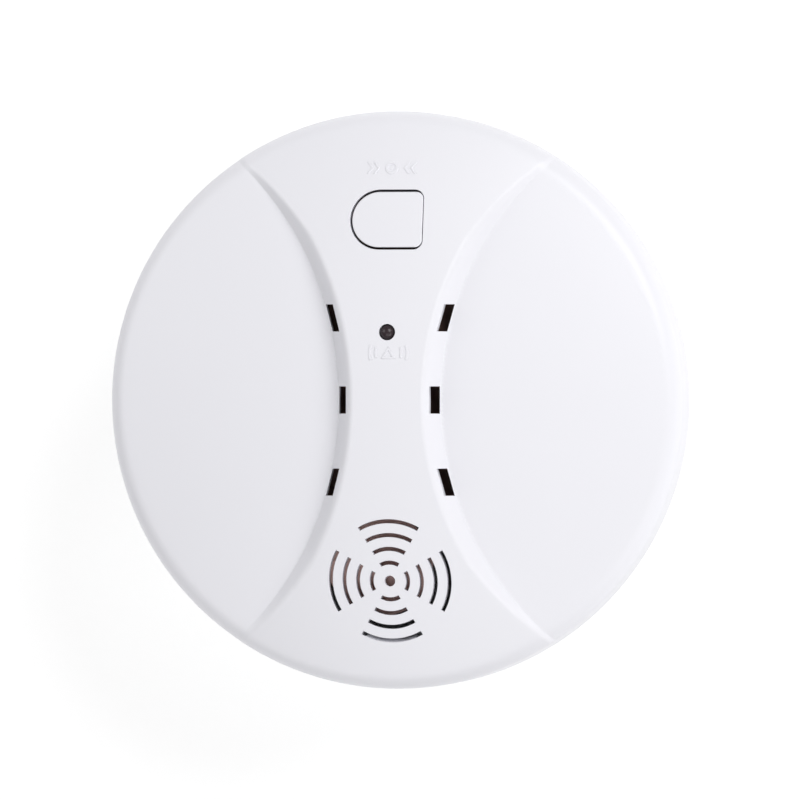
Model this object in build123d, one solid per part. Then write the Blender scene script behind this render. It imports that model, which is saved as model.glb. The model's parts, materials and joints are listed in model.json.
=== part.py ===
from build123d import *
import os
from math import asin, cos, degrees, radians, sin, sqrt, tan

os.makedirs("parts", exist_ok=True)

# ---------------------------------------------------------------- driving dimensions (mm)
# front cover: one moulding, a raised hourglass band between two lower lobes
RIM_R = 53.5                    # widest radius of the cover
COVER_WALL = 2.0
COVER_BASE_Z = 12.0             # lower edge of the cover's skirt
SEAM_TURN = 52.0                # turns each dome's seam away from the other features
BAND_CROWN_R, BAND_APEX_Z, BAND_EDGE_Z = 130.0, 35.0, 20.9
LOBE_CROWN_R, LOBE_APEX_Z, LOBE_EDGE_Z = 200.0, 30.8, 20.4
LOBE_RIM_EASE = 0.03            # keeps the lobe's surface clear of the skirt
STEP_CONE_X = 87.0              # axis of the cone that forms each sloping step
STEP_CONE_R = 77.35             # its radius at STEP_CONE_Z
STEP_CONE_Z = 30.6
STEP_DRAFT = 0.7                # radius gained per mm of height
CREASE_ARC_X, CREASE_ARC_R = 68.9, 59.2

VENT_H = 5.0                    # six vent slots in the sloping steps
VENT_Y = (15.15, 0.0, -15.15)
VENT_IN, VENT_OUT = 0.4, 2.0    # distance of the slot's sides from the crease arc

GRILLE_Y = -33.4
GRILLE_HOLE_R = 1.0
GRILLE_RINGS = (3.4, 5.95, 8.5, 11.05)
GRILLE_SLOT_W = 0.75
GRILLE_HALF_ANGLE = 30.0

LAMP_Y, LAMP_HOLE_R = 12.5, 1.55
MARK_HEIGHT = 0.15              # raised pictograms
TEST_MARK_Y, LAMP_MARK_Y = 42.9, 8.7

# test button: a D-shaped tongue hinged on its right side
BUTTON_Y = 33.3
BUTTON_HALF_H = 5.55
BUTTON_LEFT_X, BUTTON_RIGHT_X = -7.45, 6.2
BUTTON_GAP, BUTTON_HINGE_GAP = 0.4, 0.12
BUTTON_CORNER_R = 1.75
BUTTON_WALL = 1.8
NIB_R, NIB_BOTTOM_Z = 1.3, 27.4

# mounting plate
PLATE_R, PLATE_FLOOR, PLATE_WALL_TOP = 50.0, 2.0, 6.6
PLATE_WALL = 1.8
PLATE_OPENING_R = 38.0
SLOT_X, SLOT_LENGTH, SCREW_HOLE_R = 43.0, 7.0, 2.1
ROUND_HOLE_Y = 43.0
LUG_ANGLES = (35.0, 125.0, 215.0, 305.0)
LUG_HALF, LIP_HALF = 8.0, 9.0
TWIST = 20.0
LIP_BOTTOM_Z, LIP_INNER_R = 5.2, 45.6

# rear shell
BACK_Z, BACK_WALL = 2.4, 1.8
BODY_R, BODY_WALL = 45.0, 1.8
FLANGE_Z, FLANGE_T = 7.2, 1.8
SHELL_R, SHELL_WALL, SHELL_TOP_Z = 51.2, 1.6, 14.5
SIDE_VENTS, SIDE_VENT_W, SIDE_VENT_Z0, SIDE_VENT_Z1 = 48, 4.2, 9.2, 11.8
LUG_R, LUG_TOP_Z = 47.8, 4.9
RECESS_R, RECESS_TOP, RECESS_HALF = 38.4, 5.2, 17.0
CASE_SCREW_X, CASE_SCREW_Y = 29.5, 27.0
CASE_POST_R, CASE_POST_TOP, CASE_BORE_R, CASE_SEAT_Z = 4.2, 11.9, 3.1, 6.4
CASE_BOSS_R = 3.5
CASE_SHANK_R, CASE_SHANK_TOP, CASE_HEAD_R, CASE_HEAD_T = 1.3, 22.0, 2.8, 1.8
FIT = 0.02                      # radial gap round a seated screw

# battery bay and door
BAY_X0, BAY_X1, BAY_Y0, BAY_Y1 = -23.5, 5.5, -26.5, 27.0
BAY_WALL, BAY_TOP_Z, BAY_ROOF = 1.2, 22.0, 0.8
DOOR_X0, DOOR_X1, DOOR_Y0, DOOR_Y1 = -22.9, 5.2, -26.2, 26.7
DOOR_T = 1.5
DOOR_AXIS_X, DOOR_AXIS_Z = -22.3, 3.3
DOOR_PIN_R, DOOR_PIN_BORE_R, DOOR_PIN_L = 0.55, 0.62, 1.0
LABEL_T = 0.15

# nine-volt block battery
BATT_W, BATT_H, BATT_L = 26.5, 17.5, 46.4
BATT_X, BATT_Y0, BATT_Z0 = -9.0, -25.2, 4.4
TERMINAL_PITCH = 12.7

# circuit board
BOARD_Z, BOARD_T, BOARD_R = 22.9, 1.6, 35.0
BOARD_POSTS = ((-30.5, 12.0), (-30.5, -12.0), (12.0, 31.0), (18.0, -24.5))
BOARD_POST_R, BOARD_PILOT_R, BOARD_PILOT_DEPTH = 2.8, 1.0, 8.0
BOARD_HEAD_R, BOARD_HEAD_T = 2.4, 1.1
HORN_NOTCH_HALF, HORN_NOTCH_Y = 13.0, -26.0

# optical chamber, hung under the board
CH_X, CH_R = 26.5, 16.7
CH_CAP_Z, CH_CAP_T = 9.2, 1.4
CH_BASE_Z, CH_BASE_TOP = 20.4, 22.7
CH_AXIS_Z = 16.6
CH_EMITTER_AZ, CH_SENSOR_AZ = 125.0, 235.0
CH_VANES, CH_VANE_T = 20, 0.8
SCREEN_R, SCREEN_T = 16.5, 0.3

# horn, glued inside the cover square to the dome
HORN_X, HORN_Y = -2.2, -30.5
HORN_R, HORN_BORE_R, HORN_SEAT_R = 11.0, 10.1, 8.9
HORN_TOP, HORN_SEAT, HORN_BOTTOM = -0.58, -1.5, -3.6
HORN_DISC_R, HORN_DISC_T = 10.0, 0.25
CERAMIC_R, CERAMIC_T = 7.0, 0.25

BOARD_TOP = BOARD_Z + BOARD_T
SWITCH_X = -3.0
COIL_AT = (-3.6, 2.0)
SWITCH_W, SWITCH_BODY_T, SWITCH_LID_T = 6.0, 1.8, 0.2
PLUNGER_R, PLUNGER_BORE_R, PLUNGER_TOP_Z = 1.6, 1.75, 27.35


# ---------------------------------------------------------------- helpers
def save(node, shape):
    shape.label = node
    export_step(shape, "parts/%s.step" % node)
    print("%-24s volume %10.2f mm3" % (node, shape.volume))


def block(x0, x1, y0, y1, z0, z1):
    return Pos((x0 + x1) / 2, (y0 + y1) / 2, (z0 + z1) / 2) * Box(x1 - x0, y1 - y0, z1 - z0)


def drum(x, y, r, z0, z1):
    return Pos(x, y, (z0 + z1) / 2) * Cylinder(r, z1 - z0)


def ring(r_in, r_out, z0, z1):
    return drum(0, 0, r_out, z0, z1) - drum(0, 0, r_in, z0 - 1, z1 + 1)


def polar(r, angle):
    return r * cos(radians(angle)), r * sin(radians(angle))


def ring_sector(r_in, r_out, z0, z1, mid, half):
    """Part of a ring, centred on the angle mid and reaching half to each side."""
    a, b, c = mid - half, mid, mid + half
    outline = [
        ThreePointArc(polar(r_out, a), polar(r_out, b), polar(r_out, c)),
        Line(polar(r_out, c), polar(r_in, c)),
        ThreePointArc(polar(r_in, c), polar(r_in, b), polar(r_in, a)),
        Line(polar(r_in, a), polar(r_out, a)),
    ]
    return Pos(0, 0, z0) * extrude(make_face(outline), z1 - z0)


def prism(points, z0, z1):
    face = make_face(Polyline(*points, close=True))
    return Pos(0, 0, z0) * extrude(face, z1 - z0)


def dome(crown_r, apex_z, edge_z, rim_r, base_z):
    """Solid of a spherical crown that turns into a vertical skirt through one arc."""
    centre_z = apex_z - crown_r
    rise = edge_z - centre_z
    edge_r = (crown_r ** 2 - rim_r ** 2 - rise ** 2) / (2 * (crown_r - rim_r))
    ratio = crown_r / (crown_r - edge_r)
    join = ((rim_r - edge_r) * ratio, centre_z + rise * ratio)
    turn = asin(join[0] / crown_r)
    crown_mid = (crown_r * sin(turn / 2), centre_z + crown_r * cos(turn / 2))
    lean = (radians(90) - turn) / 2
    edge_mid = (rim_r - edge_r + edge_r * cos(lean), edge_z + edge_r * sin(lean))
    outline = [
        Line((0, base_z), (rim_r, base_z)),
        Line((rim_r, base_z), (rim_r, edge_z)),
        ThreePointArc((rim_r, edge_z), edge_mid, join),
        ThreePointArc(join, crown_mid, (0, apex_z)),
        Line((0, apex_z), (0, base_z)),
    ]
    return Rot(0, 0, SEAM_TURN) * revolve(Plane.XZ * make_face(outline), Axis.Z)


def band_dome(inset, base_z):
    return dome(BAND_CROWN_R - inset, BAND_APEX_Z - inset, BAND_EDGE_Z, RIM_R - inset, base_z)


def lobe_dome(inset, base_z):
    return dome(LOBE_CROWN_R - inset, LOBE_APEX_Z - inset, LOBE_EDGE_Z,
                RIM_R + LOBE_RIM_EASE - inset, base_z)


def step_cones(inset):
    """The two cones that cut the band out of the high dome, moved inward by the wall."""
    z0, z1 = 8.0, 40.0
    r_mid = STEP_CONE_R + inset * sqrt(1 + STEP_DRAFT ** 2)
    r0 = r_mid + STEP_DRAFT * (z0 - STEP_CONE_Z)
    r1 = r_mid + STEP_DRAFT * (z1 - STEP_CONE_Z)
    cone = Pos(0, 0, (z0 + z1) / 2) * Cone(r0, r1, z1 - z0)
    return [Rot(0, 0, turn) * Pos(STEP_CONE_X, 0, 0) * cone for turn in (0, 180)]


def cover_form(inset, base_z):
    form = band_dome(inset, base_z)
    for cone in step_cones(inset):
        form -= cone - lobe_dome(inset, 0)
    return form


def button_outline(gap, hinge_gap):
    half = BUTTON_HALF_H - gap
    centre_x = BUTTON_LEFT_X + BUTTON_HALF_H
    right = BUTTON_RIGHT_X - hinge_gap
    bar = Pos((centre_x + right) / 2, BUTTON_Y) * Rectangle(right - centre_x, 2 * half)
    bar = fillet(bar.vertices().sort_by(Axis.X)[-2:], BUTTON_CORNER_R - gap)
    return bar + Pos(centre_x, BUTTON_Y) * Circle(half)


def held_wire(node, points, wire_r):
    """A lead along straight runs joined by tangent arcs; its section is swept whole."""
    pts = [Vector(*p) for p in points]
    radii = []
    for a, b, c in zip(pts, pts[1:], pts[2:]):
        half_turn = (b - a).get_angle(c - b) / 2
        short = min((b - a).length, (c - b).length)
        radii.append(0.45 * short / tan(radians(half_turn)))
    path = FilletPolyline(*pts, radius=radii)
    wire = sweep(path.location_at(0) * Circle(wire_r), path=path)
    ideal = 3.14159265 * wire_r ** 2 * path.length
    print("%s bend radii %s length %.2f volume ratio %.4f" % (
        node, ["%.2f" % r for r in radii], path.length, wire.volume / ideal))
    save(node, wire)


# ---------------------------------------------------------------- front cover
def vent_cut(side, y_mid):
    points = []
    for y, offset in ((y_mid - VENT_H / 2, VENT_IN), (y_mid + VENT_H / 2, VENT_IN),
                      (y_mid + VENT_H / 2, VENT_OUT), (y_mid - VENT_H / 2, VENT_OUT)):
        crease_x = CREASE_ARC_X - sqrt(CREASE_ARC_R ** 2 - y ** 2)
        points.append((side * (crease_x - offset), y))
    return prism(points, 24, 36)


def grille_cuts():
    cuts = [drum(0, GRILLE_Y, GRILLE_HOLE_R, 20, 36)]
    for r in GRILLE_RINGS:
        for quarter in range(4):
            arc = ring_sector(r - GRILLE_SLOT_W / 2, r + GRILLE_SLOT_W / 2, 20, 36,
                              90 * quarter, GRILLE_HALF_ANGLE)
            cuts.append(Pos(0, GRILLE_Y, 0) * arc)
    return cuts


def mark_prisms():
    """Two small raised pictograms: press here, and alarm lamp."""
    z0, z1 = 22, 36
    test = ring(0.75, 1.2, z0, z1) + drum(0, 0, 0.35, z0, z1)
    for side in (-1, 1):
        for x in (2.2, 3.4):
            tip, tail = side * x, side * (x + 0.8)
            w = side * 0.45
            test += prism([(tip, 0), (tail, 1.1), (tail + w, 1.1), (tip + w, 0),
                           (tail + w, -1.1), (tail, -1.1)], z0, z1)
    lamp = prism([(-1.35, -1.1), (1.35, -1.1), (0, 1.15)], z0, z1)
    lamp -= prism([(-0.72, -0.75), (0.72, -0.75), (0, 0.45)], z0 - 1, z1 + 1)
    for r in (2.2, 3.3):
        for mid in (0, 180):
            lamp += ring_sector(r, r + 0.42, z0, z1, mid, 22)
    return [Pos(0, TEST_MARK_Y, 0) * test, Pos(0.3, LAMP_MARK_Y, 0) * lamp]


def front_cover():
    outer = cover_form(0, COVER_BASE_Z)
    marks = mark_prisms()
    outer += band_dome(-MARK_HEIGHT, COVER_BASE_Z) & (marks[0] + marks[1])
    cover = outer - cover_form(COVER_WALL, COVER_BASE_Z - 1)
    for x, y in ((CASE_SCREW_X, CASE_SCREW_Y), (CASE_SCREW_X, -CASE_SCREW_Y),
                 (-CASE_SCREW_X, CASE_SCREW_Y), (-CASE_SCREW_X, -CASE_SCREW_Y)):
        boss = drum(x, y, CASE_BOSS_R, COVER_BASE_Z, LOBE_APEX_Z)
        cover += boss & lobe_dome(COVER_WALL / 2, COVER_BASE_Z)
        cover -= drum(x, y, CASE_SHANK_R + FIT, COVER_BASE_Z - 1, CASE_SHANK_TOP + 1)
    cuts = [vent_cut(side, y) for side in (-1, 1) for y in VENT_Y]
    cuts += grille_cuts()
    cuts.append(drum(0, LAMP_Y, LAMP_HOLE_R, 30, 36))
    cuts.append(Pos(0, 0, 22) * extrude(button_outline(0, 0), 14))
    return cover - cuts


def test_button():
    shell = band_dome(0, COVER_BASE_Z) - band_dome(BUTTON_WALL, COVER_BASE_Z - 1)
    tongue = shell & Pos(0, 0, 22) * extrude(button_outline(BUTTON_GAP, BUTTON_HINGE_GAP), 14)
    nib = drum(SWITCH_X, BUTTON_Y, NIB_R, NIB_BOTTOM_Z, BAND_APEX_Z)
    return tongue + (nib & band_dome(BUTTON_WALL / 2, COVER_BASE_Z))


# ---------------------------------------------------------------- mounting plate
def mounting_plate():
    floor = ring(PLATE_OPENING_R, PLATE_R, 0, PLATE_FLOOR)
    plate = floor + ring(PLATE_R - PLATE_WALL, PLATE_R, 0, PLATE_WALL_TOP)
    wall_in = PLATE_R - PLATE_WALL
    for angle in LUG_ANGLES:
        plate += ring_sector(LIP_INNER_R, wall_in + 0.2, LIP_BOTTOM_Z, PLATE_WALL_TOP,
                             angle, LIP_HALF)
        for stop in (angle - LUG_HALF - 1.6, angle + TWIST + LUG_HALF + 1.6):
            plate += ring_sector(LIP_INNER_R, wall_in + 0.2, PLATE_FLOOR - 0.2,
                                 PLATE_WALL_TOP, stop, 1.4)
    for side in (-1, 1):
        slot = Pos(side * SLOT_X, 0, -1) * extrude(SlotOverall(SLOT_LENGTH, 2 * SCREW_HOLE_R), 4)
        plate -= slot
        plate -= drum(0, side * ROUND_HOLE_Y, SCREW_HOLE_R, -1, PLATE_FLOOR + 1)
    for angle in LUG_ANGLES:
        plate -= Rot(0, 0, angle + TWIST) * block(40.5, 45.2, -3.0, 3.0, -1, PLATE_FLOOR + 1)
    return plate


# ---------------------------------------------------------------- rear shell
def rear_shell():
    body_in = BODY_R - BODY_WALL
    shell = drum(0, 0, BODY_R, BACK_Z, BACK_Z + BACK_WALL)
    shell += ring(body_in, BODY_R, BACK_Z, FLANGE_Z + FLANGE_T)
    shell += ring(body_in, SHELL_R, FLANGE_Z, FLANGE_Z + FLANGE_T)
    shell += ring(SHELL_R - SHELL_WALL, SHELL_R, FLANGE_Z, SHELL_TOP_Z)
    for angle in LUG_ANGLES:
        shell += ring_sector(BODY_R - 0.5, LUG_R, BACK_Z, LUG_TOP_Z, angle, LUG_HALF)
    # recesses that clear the heads of the ceiling screws over the whole twist
    for angle in (0, 90, 180, 270):
        mid = angle - TWIST / 2
        shell += ring_sector(RECESS_R - 1.4, BODY_R, BACK_Z, RECESS_TOP + 1.2, mid, RECESS_HALF + 1.5)
        shell -= ring_sector(RECESS_R, BODY_R + 1, BACK_Z - 1, RECESS_TOP, mid, RECESS_HALF)
    for x, y in BOARD_POSTS:
        shell += drum(x, y, BOARD_POST_R, BACK_Z + 0.5, BOARD_Z)
    for sx in (-1, 1):
        for sy in (-1, 1):
            shell += drum(sx * CASE_SCREW_X, sy * CASE_SCREW_Y, CASE_POST_R,
                          BACK_Z, CASE_POST_TOP)
    w = BAY_WALL
    shell += block(BAY_X0 - w, BAY_X1 + w, BAY_Y0 - w, BAY_Y1 + w, BACK_Z, BAY_TOP_Z + BAY_ROOF)
    shell -= block(BAY_X0, BAY_X1, BAY_Y0, BAY_Y1, BACK_Z - 1, BAY_TOP_Z)
    # window for the battery leads, and bores for the door's hinge stubs
    shell -= block(-18, -2, BAY_Y1 - 1, BAY_Y1 + w + 1, 10, 16.5)
    for y in (BAY_Y0 - w / 2, BAY_Y1 + w / 2):
        shell -= Pos(DOOR_AXIS_X, y, DOOR_AXIS_Z) * Rot(90, 0, 0) * Cylinder(DOOR_PIN_BORE_R, 2 * w)
    # finger notch beside the door
    shell -= drum(BAY_X1 + 0.5, 0, 4.5, BACK_Z - 1, BACK_Z + 0.9)
    for sx in (-1, 1):
        for sy in (-1, 1):
            x, y = sx * CASE_SCREW_X, sy * CASE_SCREW_Y
            shell -= drum(x, y, CASE_BORE_R, BACK_Z - 1, CASE_SEAT_Z)
            shell -= drum(x, y, CASE_SHANK_R + 0.2, CASE_SEAT_Z - 1, CASE_POST_TOP + 1)
    for x, y in BOARD_POSTS:
        shell -= drum(x, y, BOARD_PILOT_R + FIT, BOARD_Z - BOARD_PILOT_DEPTH, BOARD_Z + 1)
    vents = []
    for i in range(SIDE_VENTS // 2):
        bar = block(-SHELL_R - 2, SHELL_R + 2, -SIDE_VENT_W / 2, SIDE_VENT_W / 2,
                    SIDE_VENT_Z0, SIDE_VENT_Z1)
        vents.append(Rot(0, 0, 360 * (i + 0.5) / SIDE_VENTS) * bar)
    hollow = ring(BODY_R + 1.5, SHELL_R + 3, SIDE_VENT_Z0 - 1, SIDE_VENT_Z1 + 1)
    slots = [bar & hollow for bar in vents]
    return shell - slots


def battery_door():
    door = block(DOOR_X0, DOOR_X1, DOOR_Y0, DOOR_Y1, BACK_Z, BACK_Z + DOOR_T)
    long_edges = door.edges().filter_by(Axis.Y).group_by(Axis.X)[0]
    door = fillet(long_edges, 0.5)
    reach = DOOR_PIN_L + 1.0
    for y, way in ((DOOR_Y0, -1), (DOOR_Y1, 1)):
        y_mid = y + way * (DOOR_PIN_L - 1.0) / 2
        door += Pos(DOOR_AXIS_X, y_mid, DOOR_AXIS_Z) * Rot(90, 0, 0) * Cylinder(DOOR_PIN_R, reach)
    door -= drum(DOOR_X1 - 1.0, 0, 5.2, BACK_Z - 1, BACK_Z + 0.6)
    return door


def rating_label():
    face = RectangleRounded(18, 38, 1.5)
    return Pos(-9.5, 0, BACK_Z - LABEL_T) * extrude(face, LABEL_T)


# ---------------------------------------------------------------- battery and its connector
def battery():
    y_mid, z_mid = BATT_Y0 + BATT_L / 2, BATT_Z0 + BATT_H / 2
    jacket = Pos(BATT_X, y_mid, z_mid) * Box(BATT_W, BATT_L, BATT_H)
    jacket = fillet(jacket.edges().filter_by(Axis.Y), 2.0)
    y_end = BATT_Y0 + BATT_L
    plate = Pos(BATT_X, y_end, z_mid) * Box(BATT_W - 2, 1.0, BATT_H - 2)
    plate = fillet(plate.edges().filter_by(Axis.Y), 1.4)
    jacket -= plate
    x0, x1 = BATT_X - TERMINAL_PITCH / 2, BATT_X + TERMINAL_PITCH / 2
    upright = Rot(-90, 0, 0)
    stud = Cylinder(2.85, 0.9) + Pos(0, 0, 0.8) * Cylinder(2.6, 1.4)
    stud = Pos(x0, y_end + 0.95, z_mid) * upright * stud
    socket = extrude(RegularPolygon(4.1, 6), 2.2) - Pos(0, 0, 0.5) * Cylinder(2.75, 4)
    socket = Pos(x1, y_end + 0.5, z_mid) * upright * socket
    return jacket, plate, stud, socket


def battery_connector():
    y_end, z_mid = BATT_Y0 + BATT_L, BATT_Z0 + BATT_H / 2
    x0, x1 = BATT_X - TERMINAL_PITCH / 2, BATT_X + TERMINAL_PITCH / 2
    upright = Rot(-90, 0, 0)
    cap = Pos(BATT_X, y_end + 4.1, z_mid) * Box(25, 2.2, 12)
    cap = fillet(cap.edges().filter_by(Axis.Y), 3.0)
    female = Pos(x0, y_end + 1.85, z_mid) * upright * (Cylinder(4.1, 2.3) - Cylinder(2.95, 5))
    male = Pos(x1, y_end + 2.1, z_mid) * upright * Cylinder(2.55, 1.8)
    return cap, female + male


# ---------------------------------------------------------------- circuit board
def circuit_board():
    board = drum(0, 0, BOARD_R, BOARD_Z, BOARD_TOP)
    board += block(-10, 4, 25, 38, BOARD_Z, BOARD_TOP)
    board -= block(HORN_X - HORN_NOTCH_HALF, HORN_X + HORN_NOTCH_HALF, -40, HORN_NOTCH_Y,
                   BOARD_Z - 1, BOARD_TOP + 1)
    for x, y in BOARD_POSTS:
        board -= drum(x, y, BOARD_PILOT_R + 0.3, BOARD_Z - 1, BOARD_TOP + 1)
    for y in (-6.0, 6.0):
        board -= drum(CH_X - 13.0, y, 1.35, BOARD_Z - 1, BOARD_TOP + 1)
    for az in (CH_EMITTER_AZ, CH_SENSOR_AZ):
        for x, y in lead_points(az):
            board -= drum(x, y, 0.45, BOARD_Z - 1, BOARD_TOP + 1)
    for x in (-1.27, 1.27):
        board -= drum(x, LAMP_Y, 0.45, BOARD_Z - 1, BOARD_TOP + 1)
    return board


def lead_points(azimuth):
    """Where the two leads of a chamber lamp rise, 14.4 mm out from the chamber's axis."""
    out, side = polar(14.4, azimuth), polar(1.0, azimuth + 90)
    return [(CH_X + out[0] + s * side[0], out[1] + s * side[1]) for s in (-1, 1)]


def gull_chip(x, y, length, width, height, pins):
    """A surface-mount chip: body, and a row of bent legs along each long side."""
    body = Pos(x, y, BOARD_TOP + 0.1 + height / 2) * Box(length, width, height)
    body = chamfer(body.faces().sort_by(Axis.Z)[-1].edges(), 0.25)
    legs = []
    pitch = 1.27
    for i in range(pins):
        px = x + (i - (pins - 1) / 2) * pitch
        for side in (-1, 1):
            ya, yb = sorted((y + side * width / 2, y + side * (width / 2 + 1.0)))
            legs.append(block(px - 0.2, px + 0.2, ya, yb, BOARD_TOP, BOARD_TOP + 0.2))
            yc, yd = sorted((y + side * width / 2, y + side * (width / 2 + 0.25)))
            legs.append(block(px - 0.2, px + 0.2, yc, yd, BOARD_TOP, BOARD_TOP + height * 0.6))
    chip = body
    for leg in legs:
        chip += leg
    return chip


def chip_parts(places, length, width, height):
    """Two-terminal surface-mount parts as one group."""
    parts = []
    for x, y, turn in places:
        body = Pos(x, y, BOARD_TOP + height / 2) * Rot(0, 0, turn) * Box(length, width, height)
        parts.append(chamfer(body.edges().filter_by(Axis.Z), 0.08))
    return Compound(children=parts)


def capacitor_cans():
    cans = []
    for x, y in ((2.5, -6.5), (-15.0, 20.0)):
        height = 5.2 if x > 0 else 2.6
        foot = Pos(x, y, BOARD_TOP + 0.4) * Box(5.2, 5.2, 0.8)
        foot = chamfer(foot.edges().filter_by(Axis.Z).sort_by(Axis.X)[-2:], 1.0)
        can = drum(x, y, 2.4, BOARD_TOP + 0.8, BOARD_TOP + 0.8 + height - 1.0)
        cans.append(foot + can)
    return Compound(children=cans)


def horn_coil():
    core = drum(*COIL_AT, 3.4, BOARD_TOP, BOARD_TOP + 0.8)
    core += drum(*COIL_AT, 2.0, BOARD_TOP, BOARD_TOP + 5.4)
    core += drum(*COIL_AT, 3.4, BOARD_TOP + 4.6, BOARD_TOP + 5.4)
    winding = drum(*COIL_AT, 3.0, BOARD_TOP + 0.85, BOARD_TOP + 4.55)
    return core, winding - drum(*COIL_AT, 2.03, BOARD_TOP, BOARD_TOP + 6)


# ---------------------------------------------------------------- alarm lamp and test switch
def alarm_lamp():
    lens_r = LAMP_HOLE_R - 0.12
    lens = drum(0, LAMP_Y, lens_r, BOARD_TOP + 5.4, 33.2)
    lens += Pos(0, LAMP_Y, 33.2) * Sphere(lens_r)
    lens += drum(0, LAMP_Y, 1.9, BOARD_TOP + 4.6, BOARD_TOP + 5.4)
    spacer = drum(0, LAMP_Y, 2.3, BOARD_TOP, BOARD_TOP + 4.6)
    leads = []
    for x in (-1.27, 1.27):
        spacer -= drum(x, LAMP_Y, 0.35, BOARD_TOP - 1, BOARD_TOP + 6)
        leads.append(drum(x, LAMP_Y, 0.25, BOARD_Z, BOARD_TOP + 4.6))
    return lens, spacer, Compound(children=leads)


def test_switch():
    half = SWITCH_W / 2
    lid_z = BOARD_TOP + SWITCH_BODY_T
    body = block(SWITCH_X - half, SWITCH_X + half, BUTTON_Y - half, BUTTON_Y + half,
                 BOARD_TOP, lid_z)
    body -= drum(SWITCH_X, BUTTON_Y, PLUNGER_BORE_R, BOARD_TOP + 0.1, lid_z + 1)
    lid = block(SWITCH_X - half, SWITCH_X + half, BUTTON_Y - half, BUTTON_Y + half,
                lid_z, lid_z + SWITCH_LID_T)
    lid -= drum(SWITCH_X, BUTTON_Y, PLUNGER_BORE_R, lid_z - 1, lid_z + 1)
    plunger = drum(SWITCH_X, BUTTON_Y, PLUNGER_R, BOARD_TOP + 0.5, PLUNGER_TOP_Z)
    plunger = chamfer(plunger.edges().sort_by(Axis.Z)[-1], 0.15)
    return body, lid, plunger


# ---------------------------------------------------------------- optical chamber
def chamber_base():
    base = drum(0, 0, CH_R, CH_BASE_Z, CH_BASE_TOP)
    for az in (CH_EMITTER_AZ, CH_SENSOR_AZ):
        pod = block(6.6, 13.4, -2.9, 2.9, CH_AXIS_Z - 2.7, CH_BASE_Z + 0.5)
        pod -= Pos(9.5, 0, CH_AXIS_Z) * Rot(0, 90, 0) * Cylinder(1.62, 6.0)
        pod -= Pos(13.2, 0, CH_AXIS_Z) * Rot(0, 90, 0) * Cylinder(2.0, 2.0)
        base += Rot(0, 0, az) * pod
    base = Pos(CH_X, 0, 0) * base
    for az in (CH_EMITTER_AZ, CH_SENSOR_AZ):
        for x, y in lead_points(az):
            base -= drum(x, y, 0.5, CH_AXIS_Z, CH_BASE_TOP + 1)
    for y in (-6.0, 6.0):
        base += drum(CH_X - 13.0, y, 1.2, CH_BASE_TOP - 0.5, BOARD_TOP + 0.5)
    return base


def chamber_cap():
    cap = drum(0, 0, CH_R + 0.9, CH_CAP_Z, CH_CAP_Z + CH_CAP_T)
    vane_top = CH_BASE_Z - 0.1
    for i in range(CH_VANES):
        az = 360 * i / CH_VANES
        if min(abs(az - CH_EMITTER_AZ), abs(az - CH_SENSOR_AZ)) < 25:
            continue
        inner = Pos(13.3, 0, 0) * Rot(0, 0, 50) * block(-1.5, 1.2, -CH_VANE_T / 2,
                                                        CH_VANE_T / 2, CH_CAP_Z, vane_top)
        outer = Pos(15.0, 0, 0) * Rot(0, 0, -35) * block(-1.2, 0.9, -CH_VANE_T / 2,
                                                         CH_VANE_T / 2, CH_CAP_Z, vane_top)
        cap += Rot(0, 0, az) * (inner + Pos(-0.6, 0.9, 0) * outer)
    for az in (0, 90, 180, 270):
        cap += ring_sector(CH_R + 0.05, CH_R + 0.9, CH_CAP_Z, CH_BASE_TOP - 1.0, az, 7)
    return Pos(CH_X, 0, 0) * cap


def insect_screen():
    z0, z1 = CH_CAP_Z + CH_CAP_T, CH_BASE_Z
    screen = ring(SCREEN_R - SCREEN_T, SCREEN_R, z0, z1)
    rows, columns = 3, 36
    height = (z1 - z0) / rows
    cuts = []
    for row in range(rows):
        za = z0 + row * height + 0.3
        for i in range(columns // 2):
            bar = block(-20, 20, -1.0, 1.0, za, za + height - 0.6)
            cuts.append(Rot(0, 0, 360 * i / columns) * bar)
    return Pos(CH_X, 0, 0) * (screen - cuts)


def chamber_lamp(azimuth, lens_r):
    """A 3 mm lamp lying in its pod, its leads bent up through the board."""
    lens = Pos(10.1, 0, 0) * Rot(0, 90, 0) * Cylinder(lens_r, 4.2)
    lens += Pos(8.0, 0, 0) * Sphere(lens_r)
    lens += Pos(12.65, 0, 0) * Rot(0, 90, 0) * Cylinder(1.9, 0.9)
    body = Pos(CH_X, 0, CH_AXIS_Z) * Rot(0, 0, azimuth) * lens
    return body


def chamber_leads():
    leads = []
    for az in (CH_EMITTER_AZ, CH_SENSOR_AZ):
        for s in (-1, 1):
            path = FilletPolyline((13.1, s * 1.0, 0), (14.4, s * 1.0, 0),
                                  (14.4, s * 1.0, BOARD_TOP + 0.4 - CH_AXIS_Z), radius=0.6)
            lead = sweep(path.location_at(0) * Circle(0.25), path=path)
            leads.append(Pos(CH_X, 0, CH_AXIS_Z) * Rot(0, 0, az) * lead)
    return Compound(children=leads)


# ---------------------------------------------------------------- horn
HORN_R_FROM_AXIS = sqrt(HORN_X ** 2 + HORN_Y ** 2)
HORN_DOME_R = BAND_CROWN_R - COVER_WALL
HORN_TILT = degrees(asin(HORN_R_FROM_AXIS / HORN_DOME_R))
HORN_TURN = degrees(asin(HORN_Y / HORN_R_FROM_AXIS))
HORN_SURFACE_Z = (BAND_APEX_Z - BAND_CROWN_R) + sqrt(HORN_DOME_R ** 2 - HORN_R_FROM_AXIS ** 2)
HORN_FRAME = (Pos(HORN_X, HORN_Y, HORN_SURFACE_Z) * Rot(0, 0, 180 - HORN_TURN)
              * Rot(0, HORN_TILT, 0))


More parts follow.
